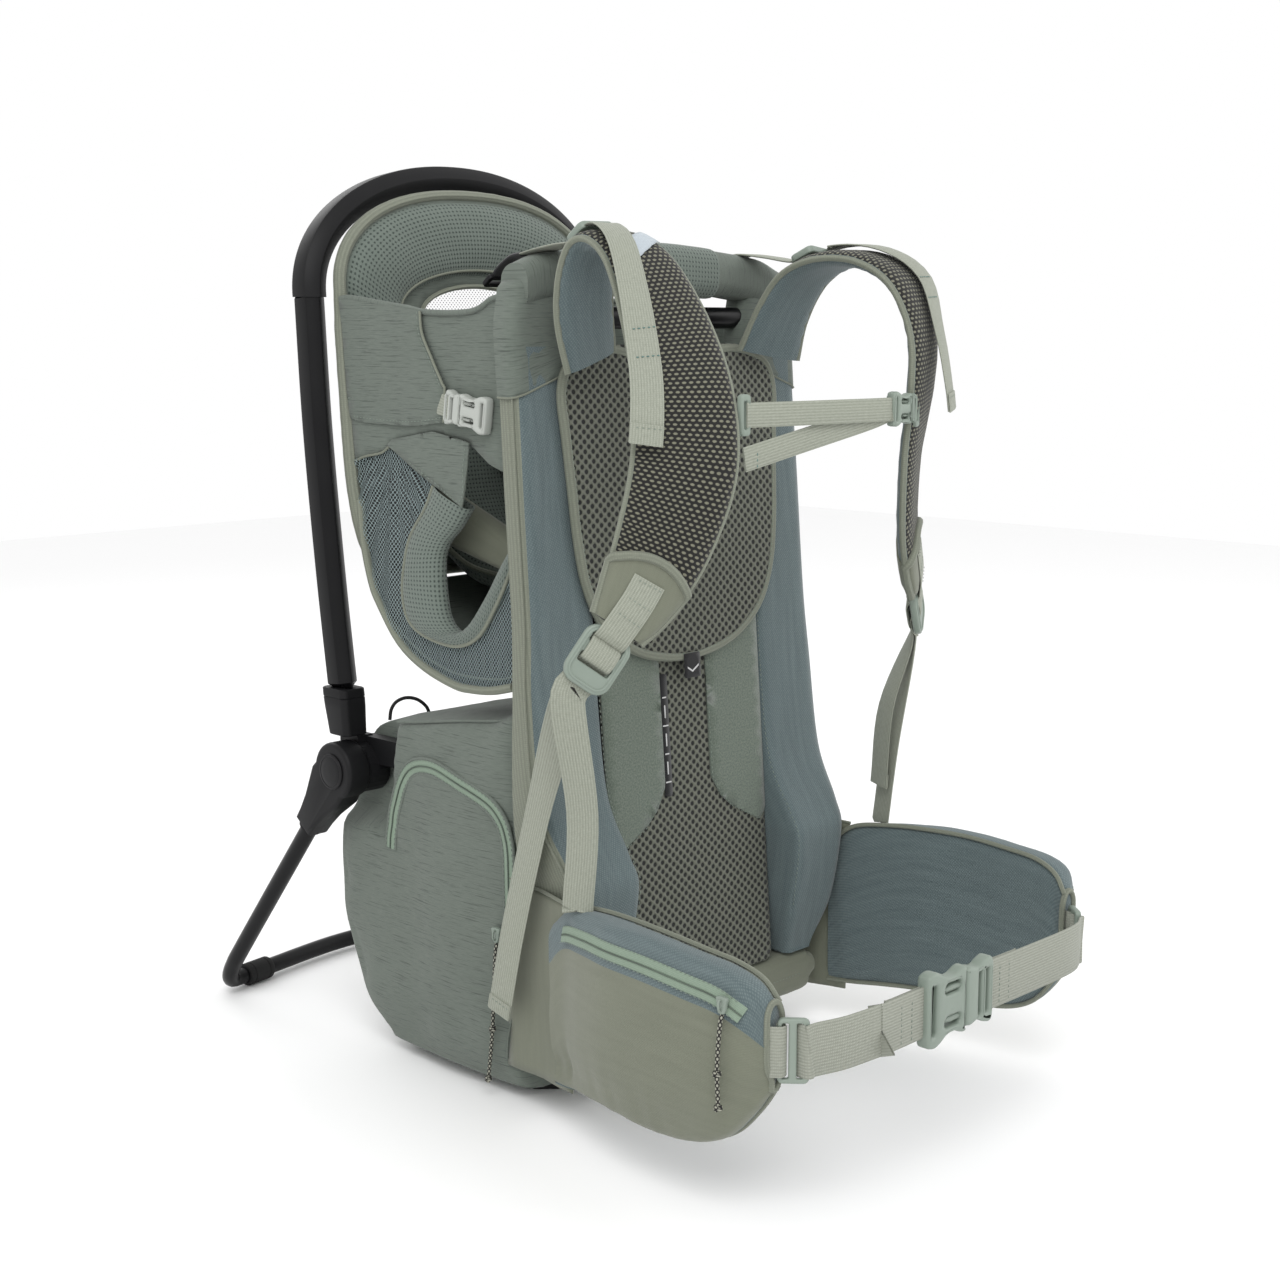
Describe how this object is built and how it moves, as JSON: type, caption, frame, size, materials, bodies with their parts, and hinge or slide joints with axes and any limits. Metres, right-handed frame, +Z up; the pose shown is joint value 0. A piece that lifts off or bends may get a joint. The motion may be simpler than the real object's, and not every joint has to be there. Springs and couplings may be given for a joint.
{
  "type": "baby carrier backpack",
  "caption": "Framed backpack for carrying a child: fold-out kickstand, hoop, cockpit with seat, storage bag, sliding shoulder yoke and hip belt.",
  "frame": {"origin": "middle of the base board's underside, on the ground", "axes": "+Z up, -Y towards the wearer's back and the shoulder straps, +Y towards the kickstand, +X towards the wearer's left"},
  "size_m": [0.4324, 0.7504, 0.7496],
  "materials": {
    "black_metal": "satin black anodised tube",
    "black_plastic": "satin black moulding",
    "sage_plastic": "satin sage moulding",
    "steel": "brushed pin",
    "rubber": "matt black rubber",
    "sage_fabric": "heathered sage polyester with darker slubs",
    "blue_fabric": "fine blue-grey knit",
    "olive_mesh": "olive-grey spacer mesh with hexagonal holes",
    "black_mesh": "black and cream chain-pattern mesh",
    "olive_twill": "plain olive-grey twill",
    "webbing": "light sage ribbed webbing",
    "cord": "black braided cord with cream flecks"
  },
  "bodies": {
    "root": {"frame_tube": "black_metal", "hoop_bar_r": "black_metal", "hoop_bar_l": "black_metal", "hoop_arch": "black_plastic", "hoop_socket_r": "black_plastic", "hoop_socket_l": "black_plastic", "hinge_bracket_r": "black_plastic", "hinge_bracket_l": "black_plastic", "hinge_pin_r": "steel", "hinge_pin_l": "steel", "back_panel": "olive_mesh", "pillar_pad_r": "blue_fabric", "pillar_pad_l": "blue_fabric", "lumbar_pad": "olive_twill", "storage_bag": "sage_fabric", "bag_base": "rubber", "cockpit_side_r": "sage_fabric", "cockpit_side_l": "sage_fabric", "headrest_panel": "sage_fabric", "cockpit_sling": "sage_fabric", "front_rim": "blue_fabric", "lower_webbing_r": "webbing", "lower_webbing_l": "webbing", "hip_wing_r": "olive_twill", "hip_wing_l": "olive_twill", "hip_lock_r": "sage_plastic", "hip_lock_l": "sage_plastic", "hip_webbing_r": "webbing", "hip_webbing_l": "webbing", "hip_buckle_female": "sage_plastic", "side_buckle_r": "sage_plastic", "side_buckle_l": "sage_plastic", "cord_loop": "cord"},
    "kickstand": {"leg_housing_r": "black_plastic", "leg_housing_l": "black_plastic", "kickstand_tube": "black_metal", "foot_sleeve_r": "rubber", "foot_sleeve_l": "rubber"},
    "yoke": {"yoke_panel": "olive_mesh", "shoulder_strap_r": "black_mesh", "shoulder_strap_l": "black_mesh", "ladder_lock_r": "sage_plastic", "ladder_lock_l": "sage_plastic", "lifter_webbing_r": "webbing", "lifter_webbing_l": "webbing", "lifter_buckle_r": "sage_plastic", "lifter_buckle_l": "sage_plastic"},
    "sternum_strap": {"sternum_webbing": "webbing", "sternum_buckle_male": "sage_plastic"},
    "sternum_clip": {"sternum_buckle_female": "sage_plastic"},
    "seat": {"child_seat": "sage_fabric", "child_harness": "webbing", "harness_buckle": "black_plastic"},
    "hip_clip": {"hip_buckle_male": "sage_plastic"},
    "hip_zip_r": {"hip_zip_slider_r": "sage_plastic", "hip_zip_pull_r": "cord"},
    "hip_zip_l": {"hip_zip_slider_l": "sage_plastic", "hip_zip_pull_l": "cord"},
    "bag_zip": {"bag_zip_slider": "sage_plastic", "bag_zip_pull": "cord"}
  },
  "joints": [
    {"name": "kickstand_fold", "type": "hinge", "parent": "root", "child": "kickstand", "pos_m": [0, 0.105, 0.244], "axis": [-1, 0, 0], "range_deg": [0, 68]},
    {"name": "torso_adjust", "type": "slide", "parent": "root", "child": "yoke", "axis": [0, 0.0778, 0.997], "range_m": [-0.06, 0.03], "deforming": ["lower_webbing_r", "lower_webbing_l"]},
    {"name": "sternum_height", "type": "slide", "parent": "yoke", "child": "sternum_strap", "axis": [0, 0, 1], "range_m": [-0.02, 0.02]},
    {"name": "sternum_release", "type": "slide", "parent": "sternum_strap", "child": "sternum_clip", "axis": [-1, 0, 0], "range_m": [0, 0.02], "deforming": ["sternum_webbing"]},
    {"name": "seat_height", "type": "slide", "parent": "root", "child": "seat", "axis": [0, 0.1133, 0.9936], "range_m": [0, 0.05]},
    {"name": "hip_release", "type": "slide", "parent": "root", "child": "hip_clip", "axis": [1, 0, 0], "range_m": [0, 0.03], "deforming": ["hip_webbing_l"]},
    {"name": "hip_zip_r_slide", "type": "slide", "parent": "root", "child": "hip_zip_r", "axis": [0, 1, 0], "range_m": [0, 0.11]},
    {"name": "hip_zip_l_slide", "type": "slide", "parent": "root", "child": "hip_zip_l", "axis": [0, 1, 0], "range_m": [0, 0.11]},
    {"name": "bag_zip_slide", "type": "slide", "parent": "root", "child": "bag_zip", "axis": [0, 0, 1], "range_m": [0, 0.07]}
  ]
}
